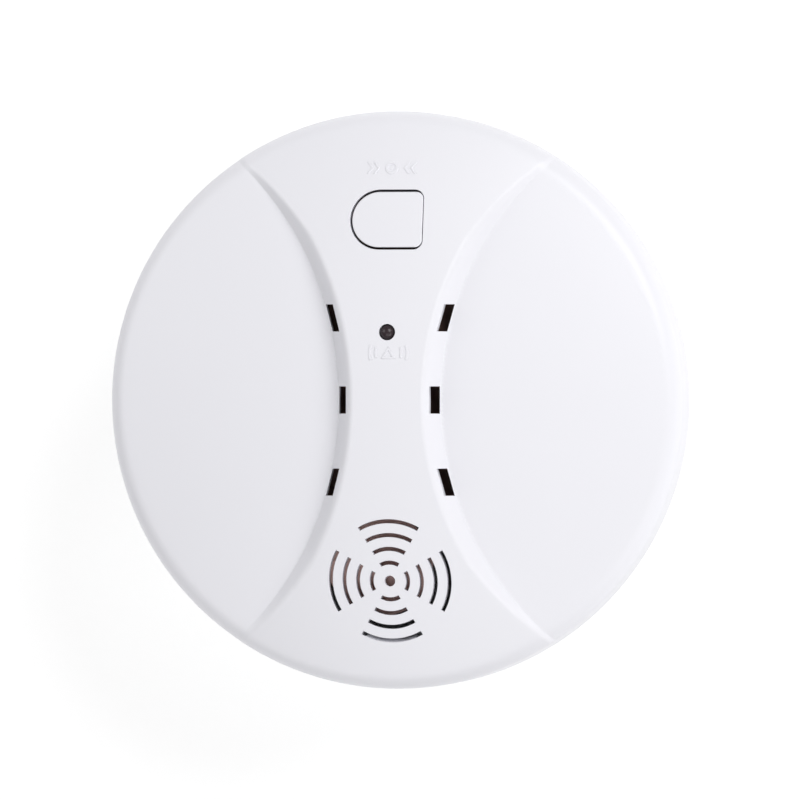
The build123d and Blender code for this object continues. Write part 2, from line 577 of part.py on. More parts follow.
def horn():
    cup = drum(0, 0, HORN_R, HORN_BOTTOM, HORN_TOP) - drum(0, 0, HORN_SEAT_R, -6, 1)
    cup -= drum(0, 0, HORN_BORE_R, HORN_SEAT, 1)
    disc = drum(0, 0, HORN_DISC_R, HORN_SEAT, HORN_SEAT + HORN_DISC_T)
    ceramic = drum(0, 0, CERAMIC_R, HORN_SEAT - CERAMIC_T, HORN_SEAT)
    return [HORN_FRAME * piece for piece in (cup, disc, ceramic)]


def on_horn(x, y, z):
    at = (HORN_FRAME * Pos(x, y, z)).position
    return at.X, at.Y, at.Z


# ---------------------------------------------------------------- screws
def screw(x, y, seat_z, head_r, head_t, shank_r, shank_len, up):
    """A pan-head screw: up is 1 when the head faces +Z, -1 when it faces -Z."""
    head = drum(0, 0, head_r, 0, head_t)
    head = fillet(head.edges().sort_by(Axis.Z)[-1], head_t * 0.4)
    depth = head_t * 0.55
    for turn in (0, 90):
        head -= Rot(0, 0, turn) * block(-head_r * 0.55, head_r * 0.55, -0.25, 0.25,
                                        head_t - depth, head_t + 1)
    body = head + drum(0, 0, shank_r, -shank_len, 0.2)
    turned = body if up > 0 else Rot(180, 0, 0) * body
    return Pos(x, y, seat_z) * turned


def board_screws():
    return Compound(children=[
        screw(x, y, BOARD_TOP, BOARD_HEAD_R, BOARD_HEAD_T, BOARD_PILOT_R, 7.6, 1)
        for x, y in BOARD_POSTS])


def case_screws():
    return Compound(children=[
        screw(sx * CASE_SCREW_X, sy * CASE_SCREW_Y, CASE_SEAT_Z, CASE_HEAD_R, CASE_HEAD_T,
              CASE_SHANK_R, CASE_SHANK_TOP - CASE_SEAT_Z, -1)
        for sx in (-1, 1) for sy in (-1, 1)])


# ---------------------------------------------------------------- write every node
save("mounting_plate", mounting_plate())
save("front_cover", front_cover())
save("test_button", test_button())
save("rear_shell", rear_shell())
save("battery_door", battery_door())
save("rating_label", rating_label())

for name, piece in zip(("battery_jacket", "battery_end_plate", "battery_positive_stud",
                        "battery_negative_socket"), battery()):
    save(name, piece)
for name, piece in zip(("battery_connector_cap", "battery_connector_contacts"),
                       battery_connector()):
    save(name, piece)

save("circuit_board", circuit_board())
save("detector_chip", gull_chip(-20, 1, 9.9, 3.9, 1.5, 7))
save("radio_chip", gull_chip(16, 19, 4.9, 3.9, 1.5, 4))
save("driver_chip", gull_chip(-20, -13, 4.9, 3.9, 1.5, 4))
save("resistors", chip_parts([(-27 + 3.2 * i, 8 + 2.4 * (i % 2), 90) for i in range(5)]
                             + [(12 + 3.2 * i, -1.2 - 1.8 * (i % 2), 0) for i in range(5)],
                             2.0, 1.25, 0.5))
save("chip_capacitors", chip_parts([(-25 + 4.0 * i, -6.5, 0) for i in range(3)]
                                   + [(14 + 3.4 * i, 2.6, 90) for i in range(4)],
                                   2.0, 1.25, 0.9))
save("capacitor_cans", capacitor_cans())
for name, piece in zip(("horn_coil_core", "horn_coil_winding"), horn_coil()):
    save(name, piece)

for name, piece in zip(("alarm_lamp", "alarm_lamp_spacer", "alarm_lamp_leads"), alarm_lamp()):
    save(name, piece)
for name, piece in zip(("switch_body", "switch_lid", "switch_plunger"), test_switch()):
    save(name, piece)

save("chamber_base", chamber_base())
save("chamber_cap", chamber_cap())
save("insect_screen", insect_screen())
save("infrared_emitter", chamber_lamp(CH_EMITTER_AZ, 1.5))
save("light_sensor", chamber_lamp(CH_SENSOR_AZ, 1.5))
save("chamber_leads", chamber_leads())

for name, piece in zip(("horn_ring", "horn_disc", "horn_ceramic"), horn()):
    save(name, piece)

# held leads: horn to board, battery connector to board
WIRE_R, THIN_WIRE_R = 0.75, 0.4
start = on_horn(-3.5, 0, HORN_SEAT - CERAMIC_T - THIN_WIRE_R - 0.02)
held_wire("horn_lead_ceramic", [start, (start[0], -23.6, start[2] - 0.6),
                                (start[0], -23.6, BOARD_TOP)], THIN_WIRE_R)
start = on_horn(-7.95, 0, HORN_SEAT - THIN_WIRE_R - 0.02)
held_wire("horn_lead_brass", [start, (start[0] + 2.6, start[1] - 0.4, start[2] - 1.2),
                              (start[0] + 2.6, start[1] - 0.4, BOARD_TOP)], THIN_WIRE_R)
LEAD_Z, LEAD_START_Y = BATT_Z0 + BATT_H / 2, BATT_Y0 + BATT_L + 5.2
for node, x in (("battery_lead_positive", -14.0), ("battery_lead_negative", -6.0)):
    held_wire(node, [(x, LEAD_START_Y, LEAD_Z), (x, 31.4, LEAD_Z), (x + 8.0, 31.4, LEAD_Z + 2.5),
                     (x + 8.0, 31.4, BOARD_Z)], WIRE_R)

save("board_screws", board_screws())
save("case_screws", case_screws())
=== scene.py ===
"""Visual model of a round smoke detector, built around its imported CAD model.

The front cover and the test button are rebuilt as finer meshes. Their plan view is triangulated with
every hole in it, and then lifted onto the cover's curved surface. Every other node keeps its CAD mesh
and gets a better material. Lengths are in millimetres until a mesh is written, where MM turns them
into metres.
"""
import json
import math

import bpy
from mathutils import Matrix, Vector
from mathutils.geometry import delaunay_2d_cdt


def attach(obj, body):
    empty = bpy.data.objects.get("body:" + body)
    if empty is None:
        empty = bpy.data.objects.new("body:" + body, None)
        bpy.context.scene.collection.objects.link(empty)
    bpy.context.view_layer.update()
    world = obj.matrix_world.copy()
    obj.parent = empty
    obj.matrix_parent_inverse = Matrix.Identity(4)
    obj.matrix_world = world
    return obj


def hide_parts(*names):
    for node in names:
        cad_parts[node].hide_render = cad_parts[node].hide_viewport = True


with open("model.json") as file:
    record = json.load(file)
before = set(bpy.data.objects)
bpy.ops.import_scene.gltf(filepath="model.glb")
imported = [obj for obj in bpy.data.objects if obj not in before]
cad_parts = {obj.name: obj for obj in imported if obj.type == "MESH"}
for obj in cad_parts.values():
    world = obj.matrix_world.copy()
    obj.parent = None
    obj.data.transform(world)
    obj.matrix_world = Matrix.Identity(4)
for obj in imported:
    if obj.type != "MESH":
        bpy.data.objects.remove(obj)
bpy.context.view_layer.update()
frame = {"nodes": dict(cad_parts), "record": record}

# ------------------------------------------------------------------ sizes, in millimetres
MM = 0.001
TINY = 1e-9

# cover: domes are crown radius, top of the crown and height of the rim's widest circle
RIM_R, BASE_Z, WALL = 53.5, 12.0, 2.0
BAND_DOME = (130.0, 35.0, 20.9)
LOBE_DOME = (200.0, 30.8, 20.4)
CREASE_X, CREASE_R = 68.9, 59.2         # plan arc of the crease, mirrored left and right
STEP_W, STEP_MIN_W = 3.45, 1.2          # width of the sloping step, at mid height and at its ends
STEP_TAPER_Y, STEP_TAPER = 30, 0.15     # beyond this y the step narrows by this much per millimetre
STEP_EASE = (0.1, 0.55)                 # shares of the step where its slope has built up and eases off

# holes in the cover, and how far each edge is rounded
VENT_H, VENT_Y, VENT_IN, VENT_OUT = 5.0, (15.15, 0.0, -15.15), 0.4, 2.0
GRILLE_Y, GRILLE_HOLE_R = -33.4, 1.0
GRILLE_RINGS, GRILLE_W, GRILLE_HALF = (3.4, 5.95, 8.5, 11.05), 0.75, 30.0
LAMP_Y, LAMP_R = 12.5, 1.5
CENTRE_EDGE, SLOT_EDGE, VENT_EDGE, LAMP_EDGE, OPENING_EDGE = 0.06, 0.05, 0.05, 0.08, 0.14

# test button, in its D-shaped opening
BUTTON_Y, BUTTON_HALF = 33.3, 5.55
BUTTON_X0, BUTTON_X1, BUTTON_CORNER = -7.45, 6.2, 1.75
BUTTON_GAP, BUTTON_HINGE_GAP, BUTTON_WALL, BUTTON_EDGE = 0.42, 0.125, 1.8, 0.22
NIB_X, NIB_FOOT_Z, NIB_FOOT_R, NIB_TOP_R = -3.0, 27.4, 1.3, 1.45

# raised pictograms: a ring and dot between chevrons, and a triangle between bows
MARK_H, MARK_WALL, MARK_EDGE, MARK_HOLE_EDGE = 0.15, 0.3, 0.06, 0.05
TEST_MARK_Y, TEST_RING_R, TEST_RING_HOLE_R, TEST_DOT_R = 42.9, 1.2, 0.75, 0.35
CHEVRON = ((0, 0), (0.8, -1.1), (1.25, -1.1), (0.45, 0), (1.25, 1.1), (0.8, 1.1))
CHEVRON_X = (2.2, 3.4)
LAMP_MARK_X, LAMP_MARK_Y = 0.3, 8.7
BOW_RADII, BOW_W, BOW_HALF = (2.2, 3.3), 0.42, 22
TRIANGLE = ((-1.35, -1.1), (1.35, -1.1), (0, 1.15))
TRIANGLE_HOLE = ((-0.72, -0.75), (0.72, -0.75), (0, 0.45))

# how finely the meshes are divided
PLAN_R = 44.0                           # beyond this radius the plan grid maps onto the rounded rim
RIM_STEPS, RIM_POINTS = 240, 360        # rows of a dome's rim profile, and points round its foot
GRID, GRID_ROW = 1.05, 0.866            # spacing of the plan points, and of their rows as a share of it
GRID_MARGIN = 0.6                       # kept clear inside the foot of the skirt
CREASE_ZONE = (-4.9, 1.6)               # depths from the crease that have rows of their own
CREASE_ROWS = (1.2, 0.75, 0.4, 0.15, 0.0, -0.12, -0.24, -0.36, -0.55, -0.9, -1.3, -1.7, -2.1, -2.5,
               -2.9, -3.25, -3.6, -4.1, -4.6)
CREASE_SPAN, CREASE_GAP = 0.85, 0.8     # half angle of those rows, and the spacing along them
CREASE_END, CREASE_FOOT = 0.2, 0.4      # kept clear at PLAN_R and at the foot of the skirt
BUTTON_GRID, BUTTON_COLUMNS, BUTTON_ROWS = 0.7, 22, 18
BUTTON_GRID_X, BUTTON_GRID_Y = -8, -6   # corner of the button's grid, in y from its middle
EDGE_ROWS = (0.0, 0.12, 0.35, 0.65, 1.0)    # rows of a rounded edge, as shares of its radius
EDGE_CLEARANCE = 0.18                   # from a rounded edge to the nearest plan point
EDGE_PROBE = 0.05                       # growth that shows which way an outline faces
NORMAL_STEP = 0.02                      # distance over which the surface's slope is taken
MERGE_DISTANCE = 1e-7
MITRE_LIMIT = 0.35
LAMP_POINTS, CENTRE_POINTS, RING_POINTS, DOT_POINTS, NIB_POINTS = 48, 40, 36, 20, 40
SLOT_POINTS, BOW_POINTS, VENT_POINTS = 18, 10, 8


# ------------------------------------------------------------------ the cover's surface
def dome(crown, apex, edge_z):
    """A crown that a rounded rim joins to an upright skirt. Its rows are (r, z, nr, nz), evenly
    spaced from PLAN_R outward and down to the skirt's foot."""
    cz = apex - crown
    rise = edge_z - cz
    edge_r = (crown ** 2 - RIM_R ** 2 - rise ** 2) / (2 * (crown - RIM_R))
    join_r = (RIM_R - edge_r) * crown / (crown - edge_r)
    a0, a1 = math.asin(PLAN_R / crown), math.asin(join_r / crown)
    crown_len, edge_len = crown * (a1 - a0), edge_r * (math.pi / 2 - a1)
    length = crown_len + edge_len + (edge_z - BASE_Z)
    rows = []
    for i in range(RIM_STEPS + 1):
        s = length * i / RIM_STEPS
        if s <= crown_len:
            a = a0 + s / crown
            rows.append((crown * math.sin(a), cz + crown * math.cos(a), math.sin(a), math.cos(a)))
        elif s <= crown_len + edge_len:
            a = a1 + (s - crown_len) / edge_r
            rows.append((RIM_R - edge_r + edge_r * math.sin(a), edge_z + edge_r * math.cos(a),
                         math.sin(a), math.cos(a)))
        else:
            rows.append((RIM_R, edge_z - (s - crown_len - edge_len), 1.0, 0.0))
    return {"crown": crown, "apex": apex, "length": length, "rows": rows}


BAND, LOBE = dome(*BAND_DOME), dome(*LOBE_DOME)
RIM_LEN = (BAND["length"] + LOBE["length"]) / 2
PLAN_MAX = PLAN_R + RIM_LEN


def along(shape, rho):
    """(r, z, nr, nz) of a dome's profile at plan radius rho."""
    if rho <= PLAN_R:
        crown = shape["crown"]
        c = math.sqrt(crown * crown - rho * rho)
        return rho, shape["apex"] - crown + c, rho / crown, c / crown
    rows = shape["rows"]
    q = min(1.0, (rho - PLAN_R) / RIM_LEN) * (len(rows) - 1)
    i = min(int(q), len(rows) - 2)
    f = q - i
    return tuple(a + (b - a) * f for a, b in zip(rows[i], rows[i + 1]))


def step_share(t):
    """Height share of the sloping step, from the crease (t = 0) to the band (t = 1): crisp at the
    crease, softly rounded at the band."""
    a, b = STEP_EASE
    if t <= 0:
        return 0.0
    if t >= 1:
        return 1.0
    m = 1 / (1 - a / 2 - (1 - b) / 2)
    if t < a:
        return m * t * t / (2 * a)
    if t < b:
        return m * (t - a / 2)
    return m * (t - a / 2) - m * (t - b) ** 2 / (2 * (1 - b))


def step_width(y):
    y = abs(y)
    return STEP_W if y < STEP_TAPER_Y else max(STEP_MIN_W, STEP_W - (y - STEP_TAPER_Y) * STEP_TAPER)


def crease_depth(x, y):
    """How far inside the nearer lobe's circle a point is; negative on the band."""
    return CREASE_R - math.hypot(CREASE_X - abs(x), y)


def crease_x(y):
    return CREASE_X - math.sqrt(CREASE_R ** 2 - y * y)


def surface(u, v, wall=0.0):
    """The cover's point for plan position (u, v), moved inward by wall: straight down in the plan,
    so that the sides of the holes stand upright, and square to the surface on the rounded rim."""
    rho = math.hypot(u, v)
    c, s = (u / rho, v / rho) if rho > TINY else (1.0, 0.0)
    hi, lo = along(BAND, rho), along(LOBE, rho)
    r = (hi[0] + lo[0]) / 2
    x, y = r * c, r * s
    share = step_share(-crease_depth(x, y) / step_width(y))
    r, z, nr, nz = (b + (a - b) * share for a, b in zip(hi, lo))
    if rho <= PLAN_R:
        z -= wall / nz
    else:
        r, z = r - nr * wall, z - nz * wall
    return r * c, r * s, z


def surface_normal(u, v):
    h = NORMAL_STEP
    a, b = Vector(surface(u + h, v)), Vector(surface(u - h, v))
    c, d = Vector(surface(u, v + h)), Vector(surface(u, v - h))
    return (a - b).cross(c - d).normalized()


# ------------------------------------------------------------------ outlines, counter-clockwise
# A loop is a function that gives an outline's points, grown by g.
def ring_points(r, n):
    return [(r * math.cos(2 * math.pi * i / n), r * math.sin(2 * math.pi * i / n)) for i in range(n)]


def band_points(r0, r1, angles):
    """A piece of a ring between radii r0 and r1."""
    outer = [(r1 * math.cos(a), r1 * math.sin(a)) for a in angles]
    return outer + [(r0 * math.cos(a), r0 * math.sin(a)) for a in reversed(angles)]


def circle_loop(cx, cy, r, n):
    return lambda g: [(cx + x, cy + y) for x, y in ring_points(r + g, n)]


def slot_loop(r_mid, mid_deg):
    """One arc of the grille."""
    def loop(g):
        half = math.radians(GRILLE_HALF) + g / r_mid
        mid = math.radians(mid_deg)
        angles = [mid - half + 2 * half * i / (SLOT_POINTS - 1) for i in range(SLOT_POINTS)]
        pts = band_points(r_mid - GRILLE_W / 2 - g, r_mid + GRILLE_W / 2 + g, angles)
        return [(x, y + GRILLE_Y) for x, y in pts]
    return loop


def vent_loop(side, y_mid):
    """A vent in the sloping step, slanted as the crease is beside it."""
    x_top, x_foot = crease_x(y_mid + VENT_H / 2), crease_x(y_mid - VENT_H / 2)
    slant, mid = (x_top - x_foot) / VENT_H, (x_top + x_foot) / 2

    def loop(g):
        y0, y1 = y_mid - VENT_H / 2 - g, y_mid + VENT_H / 2 + g
        grow = g * math.hypot(1, slant)
        pts = []
        for i in range(VENT_POINTS):
            y = y0 + (y1 - y0) * i / (VENT_POINTS - 1)
            pts.append((mid + slant * (y - y_mid) - VENT_IN + grow, y))
        for i in range(VENT_POINTS):
            y = y1 + (y0 - y1) * i / (VENT_POINTS - 1)
            pts.append((mid + slant * (y - y_mid) - VENT_OUT - grow, y))
        return [(side * x, y) for x, y in (pts if side > 0 else reversed(pts))]
    return loop


def button_loop(base_gap, hinge_gap):
    """The button's D, shrunk by base_gap, and by hinge_gap on its straight side."""
    round_n, long_n, corner_n, short_n = 40, 14, 12, 12

    def loop(g):
        half = BUTTON_HALF - base_gap + g
        cx = BUTTON_X0 + BUTTON_HALF
        x1 = BUTTON_X1 - hinge_gap + g
        rc = max(0.2, BUTTON_CORNER - base_gap + g)
        pts = []
        for i in range(round_n + 1):
            a = math.pi / 2 + math.pi * i / round_n
            pts.append((cx + half * math.cos(a), half * math.sin(a)))
        for i in range(1, long_n):
            pts.append((cx + (x1 - rc - cx) * i / long_n, -half))
        for i in range(corner_n + 1):
            a = -math.pi / 2 + math.pi / 2 * i / corner_n
            pts.append((x1 - rc + rc * math.cos(a), -half + rc + rc * math.sin(a)))
        for i in range(1, short_n):
            pts.append((x1, (-half + rc) + (2 * half - 2 * rc) * i / short_n))
        for i in range(corner_n + 1):
            a = math.pi / 2 * i / corner_n
            pts.append((x1 - rc + rc * math.cos(a), half - rc + rc * math.sin(a)))
        for i in range(1, long_n):
            pts.append((x1 - rc + (cx - x1 + rc) * i / long_n, half))
        return [(x, y + BUTTON_Y) for x, y in pts]
    return loop


def polygon_loop(points):
    """A polygon that grows with mitred corners."""
    pts = [Vector(p) for p in points]

    def loop(g):
        out = []
        for i, p in enumerate(pts):
            a = (p - pts[i - 1]).normalized()
            b = (pts[(i + 1) % len(pts)] - p).normalized()
            na, nb = Vector((a.y, -a.x)), Vector((b.y, -b.x))
            m = (na + nb) / max(MITRE_LIMIT, 1 + na.dot(nb))
            out.append((p.x + m.x * g, p.y + m.y * g))
        return out
    return loop


def inside(x, y, outline):
    hit = False
    for (x0, y0), (x1, y1) in zip(outline, outline[1:] + outline[:1]):
        if (y0 > y) != (y1 > y) and x < (x1 - x0) * (y - y0) / (y1 - y0) + x0:
            hit = not hit
    return hit


# ------------------------------------------------------------------ a shell lifted from its plan
def rounded_rings(loop, radius, way):
    """Rings of (point, mark) across a rounded edge, where mark is (the way it falls, share, radius).
    way is 1 for a hole, whose edge falls toward its inside, and -1 for an outer outline."""
    out = [Vector((b[0] - a[0], b[1] - a[1])).normalized() for a, b in zip(loop(0.0), loop(EDGE_PROBE))]
    return [[(p, (-d * way, share, radius)) for p, d in zip(loop(way * radius * share), out)]
            for share in EDGE_ROWS]


def plan_mesh(outer, holes, points, edge_r):
    """Triangulates the plan. Returns its points, each one's mark or None, and the triangles."""
    rings, border, limit, zones = [], None, None, []
    if edge_r:
        rings += rounded_rings(outer, edge_r, -1)
        border, limit = outer(0.0), outer(-edge_r - EDGE_CLEARANCE)
    else:
        rings.append([(p, None) for p in outer])
    for loop, radius in holes:
        rings += rounded_rings(loop, radius, 1)
        wide = loop(radius + EDGE_CLEARANCE)
        xs, ys = [p[0] for p in wide], [p[1] for p in wide]
        zones.append(((min(xs), max(xs), min(ys), max(ys)), wide, loop(0.0)))

    def in_hole(x, y, with_edge):
        return any(x0 <= x <= x1 and y0 <= y <= y1 and inside(x, y, wide if with_edge else edge)
                   for (x0, x1, y0, y1), wide, edge in zones)

    verts, marks, constraints = [], [], []
    for ring in rings:
        first, n = len(verts), len(ring)
        verts += [Vector(p) for p, _ in ring]
        marks += [m for _, m in ring]
        constraints += [(first + i, first + (i + 1) % n) for i in range(n)]
    for x, y in points:
        if (not limit or inside(x, y, limit)) and not in_hole(x, y, True):
            verts.append(Vector((x, y)))
            marks.append(None)
    flat, _, found, origin, _, _ = delaunay_2d_cdt(verts, constraints, [], 0, MERGE_DISTANCE)
    marks = [marks[o[0]] if o else None for o in origin]

    tris = []
    for t in found:
        p = [flat[i] for i in t]
        x, y = sum(q.x for q in p) / 3, sum(q.y for q in p) / 3
        if (border and not inside(x, y, border)) or in_hole(x, y, False):
            continue
        area = sum(a.x * b.y - b.x * a.y for a, b in zip(p, p[1:] + p[:1]))
        tris.append(tuple(t) if area > 0 else tuple(reversed(t)))
    return flat, marks, tris


def shell_mesh(name, outer, holes, points, edge_r, wall, lift=0.0):
    """A closed shell on the cover's surface, lift above it. outer is a loop whose edge is rounded by
    edge_r, or a list of points where edge_r is 0; holes is a list of (loop, edge radius)."""
    flat, marks, tris = plan_mesh(outer, holes, points, edge_r)
    n = len(flat)
    top, top_normal, low, low_normal = [], [], [], []
    for p, mark in zip(flat, marks):
        pos, normal = Vector(surface(p.x, p.y)), surface_normal(p.x, p.y)
        low.append(Vector(surface(p.x, p.y, wall)))
        low_normal.append(-normal)
        pos.z += lift
        if mark:
            fall, share, radius = mark
            pos.z -= radius - math.sqrt(max(0.0, radius ** 2 - (radius * (1 - share)) ** 2))
            lean = math.asin(1 - share)
            normal = normal * math.cos(lean) + Vector((fall.x, fall.y, 0)) * math.sin(lean)
            normal.normalize()
        top.append(pos)
        top_normal.append(normal)

    edges = dict.fromkeys((t[i], t[(i + 1) % 3]) for t in tris for i in range(3))
    faces = list(tris)
    normals = [top_normal[i] for t in tris for i in t]
    for a, b, c in tris:
        faces.append((a + n, c + n, b + n))
        normals += [low_normal[i] for i in (a, c, b)]
    for a, b in edges:
        if (b, a) in edges:
            continue
        faces.append((b, a, a + n, b + n))
        side = (top[a] - top[b]).cross(low[a] - top[a]).normalized()
        for i in (b, a, a, b):
            normals.append(Vector((marks[i][0].x, marks[i][0].y, 0)) if marks[i] else side)

    mesh = bpy.data.meshes.new(name)
    mesh.from_pydata([v * MM for v in top + low], [], faces)
    mesh.update()
    mesh.polygons.foreach_set("use_smooth", [True] * len(mesh.polygons))
    mesh.normals_split_custom_set([tuple(v) for v in normals])
    return linked(bpy.data.objects.new(name, mesh))


def linked(obj):
    bpy.context.scene.collection.objects.link(obj)
    return obj


def joined(name, objs):
    with bpy.context.temp_override(active_object=objs[0], selected_editable_objects=objs,
                                   selected_objects=objs):
        bpy.ops.object.join()
    objs[0].name = name
    return objs[0]


def cover_points():
    """Plan points: even rows across the cover, and rows that follow each crease."""
    pts = []
    rows = int(PLAN_MAX / (GRID * GRID_ROW)) + 1
    for j in range(-rows, rows + 1):
        for i in range(-rows, rows + 1):
            u, v = GRID * (i + 0.5 * (j % 2)), GRID * GRID_ROW * j
            rho = math.hypot(u, v)
            if rho > PLAN_MAX - GRID_MARGIN:
                continue
            r = along(BAND, rho)[0]
            x, y = (u * r / rho, v * r / rho) if rho > TINY else (0.0, 0.0)
            if not CREASE_ZONE[0] < crease_depth(x, y) < CREASE_ZONE[1]:
                pts.append((u, v))
    for side in (-1, 1):
        for depth in CREASE_ROWS:
            radius = CREASE_R - depth
            count = int(radius * 2 * CREASE_SPAN / CREASE_GAP)
            for i in range(count + 1):
                a = -CREASE_SPAN + 2 * CREASE_SPAN * i / count
                x, y = CREASE_X - radius * math.cos(a), radius * math.sin(a)
                if math.hypot(x, y) < PLAN_R - CREASE_END:
                    pts.append((side * x, y))
            rho = PLAN_R
            while rho < PLAN_MAX - CREASE_FOOT:
                r = (along(BAND, rho)[0] + along(LOBE, rho)[0]) / 2
                cos_a = (CREASE_X ** 2 + r * r - radius ** 2) / (2 * CREASE_X * r)
                a = math.acos(max(-1.0, min(1.0, cos_a)))
                for sy in (-1, 1):
                    pts.append((side * rho * math.cos(a), sy * rho * math.sin(a)))
                rho += CREASE_GAP
    return pts


def pictogram(name, cx, cy, outlines):
    """Raised pictogram on the band. Each outline is (points, points of its hole or None)."""
    parts = []
    for i, (pts, hole) in enumerate(outlines):
        outer, inner = (polygon_loop([(x + cx, y + cy) for x, y in p]) if p else None
                        for p in (pts, hole))
        holes = [(inner, MARK_HOLE_EDGE)] if inner else []
        parts.append(shell_mesh(name + str(i), outer, holes, [], MARK_EDGE, MARK_WALL, MARK_H))
    return joined(name, parts)


# ------------------------------------------------------------------ materials
CLOUD_SCALE, ROUGH_SPREAD, BUMP_MM, SUBSURFACE_M = 60, 0.05, 0.01, 0.002


def material(name, color, rough=0.5, metallic=0.0, grain=0.0, grain_scale=900, coat=0.0, tint=0.03,
             spec=0.5, subsurface=0.0):
    """A slightly uneven finish: tint is how far its colour strays, grain the strength of its bumps."""
    m = bpy.data.materials.new(name)
    m.use_nodes = True
    nodes, links = m.node_tree.nodes, m.node_tree.links
    p = nodes["Principled BSDF"]
    p.inputs["Metallic"].default_value = metallic
    p.inputs["Coat Weight"].default_value = coat
    p.inputs["Specular IOR Level"].default_value = spec
    if subsurface:
        p.inputs["Subsurface Weight"].default_value = subsurface
        p.inputs["Subsurface Radius"].default_value = (SUBSURFACE_M, SUBSURFACE_M, SUBSURFACE_M)
        p.inputs["Subsurface Scale"].default_value = 1.0
    where = nodes.new("ShaderNodeTexCoord")
    cloud = nodes.new("ShaderNodeTexNoise")
    cloud.inputs["Scale"].default_value = CLOUD_SCALE
    cloud.inputs["Detail"].default_value = 4
    links.new(where.outputs["Object"], cloud.inputs["Vector"])
    mix = nodes.new("ShaderNodeMix")
    mix.data_type = "RGBA"
    mix.inputs["A"].default_value = (*[c * (1 - tint) for c in color], 1)
    mix.inputs["B"].default_value = (*[min(1.0, c * (1 + tint)) for c in color], 1)
    links.new(cloud.outputs["Fac"], mix.inputs["Factor"])
    links.new(mix.outputs["Result"], p.inputs["Base Color"])
    span = nodes.new("ShaderNodeMapRange")
    span.inputs["To Min"].default_value = max(0.02, rough - ROUGH_SPREAD)
    span.inputs["To Max"].default_value = min(1.0, rough + ROUGH_SPREAD)
    links.new(cloud.outputs["Fac"], span.inputs["Value"])
    links.new(span.outputs["Result"], p.inputs["Roughness"])
    if grain:
        fine = nodes.new("ShaderNodeTexNoise")
        fine.inputs["Scale"].default_value = grain_scale
        fine.inputs["Detail"].default_value = 3
        links.new(where.outputs["Object"], fine.inputs["Vector"])
        bump = nodes.new("ShaderNodeBump")
        bump.inputs["Strength"].default_value = grain
        bump.inputs["Distance"].default_value = BUMP_MM * MM
        links.new(fine.outputs["Fac"], bump.inputs["Height"])
        links.new(bump.outputs["Normal"], p.inputs["Normal"])
    return m


WHITE = (0.80, 0.797, 0.838)
looks = {
    "white_plastic": material("white_satin_plastic", WHITE, 0.42, grain=0.5, grain_scale=1500,
                              tint=0.004, spec=0.4),
    "shell_plastic": material("shell_satin_plastic", (0.76, 0.77, 0.785), 0.5, grain=0.6,
                              grain_scale=1300, tint=0.006),
    "black_plastic": material("black_plastic", (0.018, 0.018, 0.019), grain=0.5, tint=0.1),
    "board": material("brown_board", (0.22, 0.12, 0.1), 0.45, grain=0.5, grain_scale=700, tint=0.15),
    "chip_body": material("chip_epoxy", (0.02, 0.02, 0.022), 0.55, grain=0.7, tint=0.1),
    "chip_resistor": material("chip_resistor", (0.03, 0.03, 0.034), 0.4, grain=0.3),
    "chip_capacitor": material("chip_capacitor", (0.42, 0.3, 0.17), grain=0.3, tint=0.1),
    "can_aluminium": material("can_aluminium", (0.72, 0.73, 0.75), 0.3, 1.0, grain=0.2),
    "ferrite": material("ferrite", (0.05, 0.05, 0.055), 0.6, grain=0.7, tint=0.15),
    "copper_winding": material("copper_winding", (0.6, 0.26, 0.11), 0.32, 1.0, grain=0.6,
                               grain_scale=2500),
    "natural_plastic": material("natural_nylon", (0.75, 0.73, 0.66), 0.45, grain=0.3, subsurface=0.2),
    "tinned_wire": material("tinned_wire", (0.72, 0.72, 0.7), 0.25, 1.0, grain=0.2),
    "steel": material("stamped_steel", (0.6, 0.6, 0.61), 0.35, 1.0, grain=0.3),
    "screen_steel": material("screen_steel", (0.4, 0.4, 0.41), 0.4, 1.0, grain=0.4),
    "infrared_lens": material("infrared_lens", (0.1, 0.085, 0.18), 0.08, grain=0.05, coat=0.6),
    "sensor_lens": material("sensor_lens", (0.02, 0.018, 0.025), 0.1, grain=0.05, coat=0.6),
    "disc_brass": material("disc_brass", (0.88, 0.62, 0.57), 0.55, 0.35, grain=0.4, grain_scale=500,
                           tint=0.06),
    "piezo_ceramic": material("piezo_ceramic", (0.72, 0.7, 0.64), 0.4, 0.3, grain=0.4),
    "battery_jacket": material("battery_jacket", (0.06, 0.07, 0.085), 0.3, 0.4, grain=0.2, tint=0.08),
    "nickel": material("nickel", (0.7, 0.69, 0.66), 0.22, 1.0, grain=0.2),
    "wire_red": material("wire_red", (0.5, 0.02, 0.018), 0.4, grain=0.3, tint=0.08),
    "wire_black": material("wire_black", (0.018, 0.018, 0.018), 0.4, grain=0.3, tint=0.1),
    "screw_zinc": material("screw_zinc", (0.6, 0.61, 0.62), 0.3, 1.0, grain=0.3),
    "label_paper": material("label_foil", (0.62, 0.63, 0.64), 0.35, 0.4, grain=0.2),
    "smoky_lens": material("smoky_lens", (0.033, 0.022, 0.026), 0.3, grain=0.1, tint=0.08, spec=0.35),
}
for part in frame["record"]["subparts"]:
    node = frame["nodes"][part["node"]]
    node.data.materials.clear()
    node.data.materials.append(looks[part["material_slot"]])


def dress(obj, body, slot_name, *nodes):
    obj.data.materials.clear()
    obj.data.materials.append(looks[slot_name])
    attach(obj, body)
    if nodes:
        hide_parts(*nodes)
    return obj


